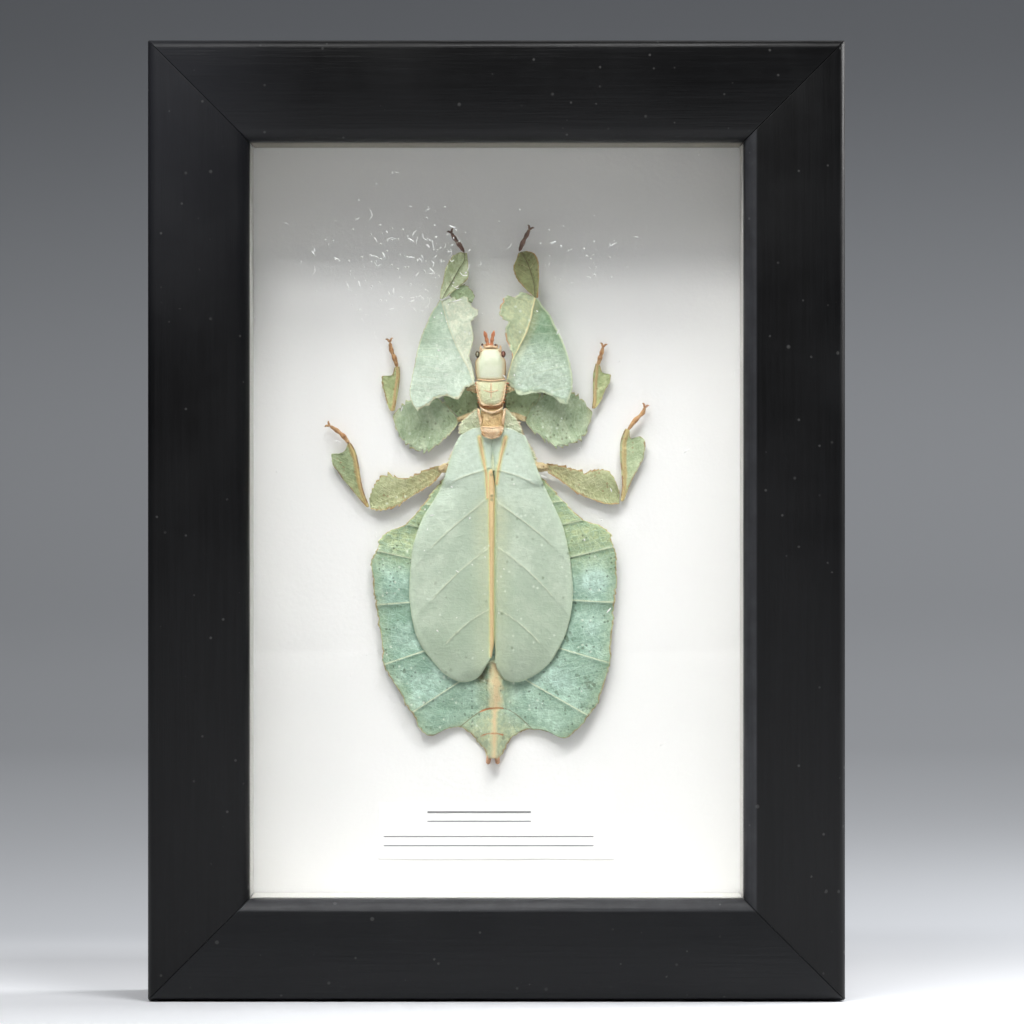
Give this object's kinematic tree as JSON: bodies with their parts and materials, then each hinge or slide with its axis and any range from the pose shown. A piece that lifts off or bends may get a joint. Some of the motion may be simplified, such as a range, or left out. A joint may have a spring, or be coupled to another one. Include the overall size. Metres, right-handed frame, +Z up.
{
  "type": "framed leaf insect specimen",
  "caption": "Dried green leaf insect with open forelegs, set on a white board behind glass in a deep black box frame that stands on its lower edge.",
  "frame": {"origin": "middle of the lower face of the box frame, where it stands", "axes": "+Z up towards the insect's head, +Y from the glass to the back, +X to the right of a viewer who faces the glass"},
  "size_m": [0.1348, 0.032, 0.1856],
  "materials": {
    "moulding": "satin black paint over wood",
    "glazing": "clear, with fine dust",
    "spacer": "matt",
    "board": "matt white",
    "back_panel": "raw fibreboard",
    "fittings": "zinc plated",
    "label": "matt",
    "body": "dry cuticle",
    "eye": "glossy",
    "antenna": "dry cuticle",
    "abdomen": "dry cuticle, leaf-like",
    "wing": "dry wing, leaf-like",
    "fore_leg": "dry cuticle, leaf-like",
    "mid_leg": "dry cuticle, leaf-like",
    "hind_leg": "dry cuticle, leaf-like",
    "tarsus": "dry cuticle"
  },
  "bodies": {
    "root": {"frame_top": "moulding", "frame_bottom": "moulding", "frame_left": "moulding", "frame_right": "moulding", "glass": "glazing", "spacer_top": "spacer", "spacer_bottom": "spacer", "spacer_left": "spacer", "spacer_right": "spacer", "backing_board": "board", "back_panel": "back_panel", "hanger": "fittings", "tab_1": "fittings", "tab_2": "fittings", "tab_3": "fittings", "tab_4": "fittings", "tab_5": "fittings", "tab_6": "fittings", "label": "label", "head": "body", "prothorax": "body", "mesothorax": "body", "metathorax": "body", "eye_left": "eye", "eye_right": "eye", "antenna_left": "antenna", "antenna_right": "antenna", "abdomen": "abdomen", "tegmen_left": "wing", "tegmen_right": "wing", "fore_left_coxa": "fore_leg", "fore_left_femur": "fore_leg", "fore_left_tibia": "fore_leg", "fore_left_tarsus": "tarsus", "fore_right_coxa": "fore_leg", "fore_right_femur": "fore_leg", "fore_right_tibia": "fore_leg", "fore_right_tarsus": "tarsus", "mid_left_coxa": "mid_leg", "mid_left_femur": "mid_leg", "mid_left_tibia": "mid_leg", "mid_left_tarsus": "tarsus", "mid_right_coxa": "mid_leg", "mid_right_femur": "mid_leg", "mid_right_tibia": "mid_leg", "mid_right_tarsus": "tarsus", "hind_left_coxa": "hind_leg", "hind_left_femur": "hind_leg", "hind_left_tibia": "hind_leg", "hind_left_tarsus": "tarsus", "hind_right_coxa": "hind_leg", "hind_right_femur": "hind_leg", "hind_right_tibia": "hind_leg", "hind_right_tarsus": "tarsus"}
  },
  "joints": []
}
